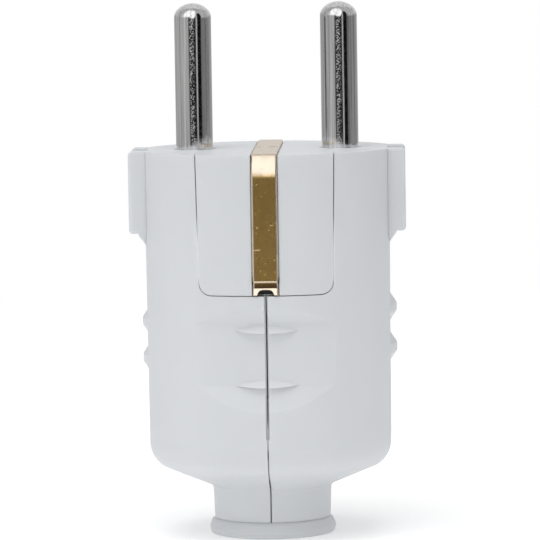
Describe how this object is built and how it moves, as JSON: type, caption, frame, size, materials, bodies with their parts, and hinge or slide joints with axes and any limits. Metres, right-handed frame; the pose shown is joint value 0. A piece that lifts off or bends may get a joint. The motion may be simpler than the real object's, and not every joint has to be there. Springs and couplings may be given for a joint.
{
  "type": "electrical plug",
  "caption": "Straight rewirable mains plug with round contact pins, side earth contacts, split white covers and a cable collar.",
  "frame": {"origin": "centre of the cable collar's lower rim, on the surface that the plug stands on", "axes": "+Z along the contact pins, away from the cable; +X from the left pin to the right pin; -Y is the front"},
  "size_m": [0.036, 0.034, 0.0694],
  "materials": {
    "white_shell": "fine satin moulded thermoplastic",
    "white_insert": "satin moulded thermoset",
    "soft_bush": "satin, slightly soft thermoplastic",
    "nickel_plate": "bright nickel plate with fine drawn streaks",
    "earth_brass": "scuffed rolled brass",
    "plain_brass": "turned brass",
    "zinc_steel": "zinc-plated steel"
  },
  "bodies": {
    "root": {"cover_left": "white_shell", "cover_right": "white_shell", "contact_carrier": "white_insert", "terminal_retainer": "white_insert", "earth_strip": "earth_brass", "earth_post": "plain_brass", "earth_washer": "plain_brass", "pin_left": "nickel_plate", "pin_right": "nickel_plate", "pin_screw_left": "zinc_steel", "pin_screw_right": "zinc_steel", "earth_screw": "zinc_steel", "pin_wire_guard_left": "plain_brass", "pin_wire_guard_right": "plain_brass", "earth_wire_guard": "plain_brass", "clamp_bar": "white_insert", "clamp_screws": "zinc_steel", "closing_screw": "zinc_steel", "closing_washer": "zinc_steel", "closing_nut": "zinc_steel", "cable_collar": "soft_bush"}
  },
  "joints": []
}
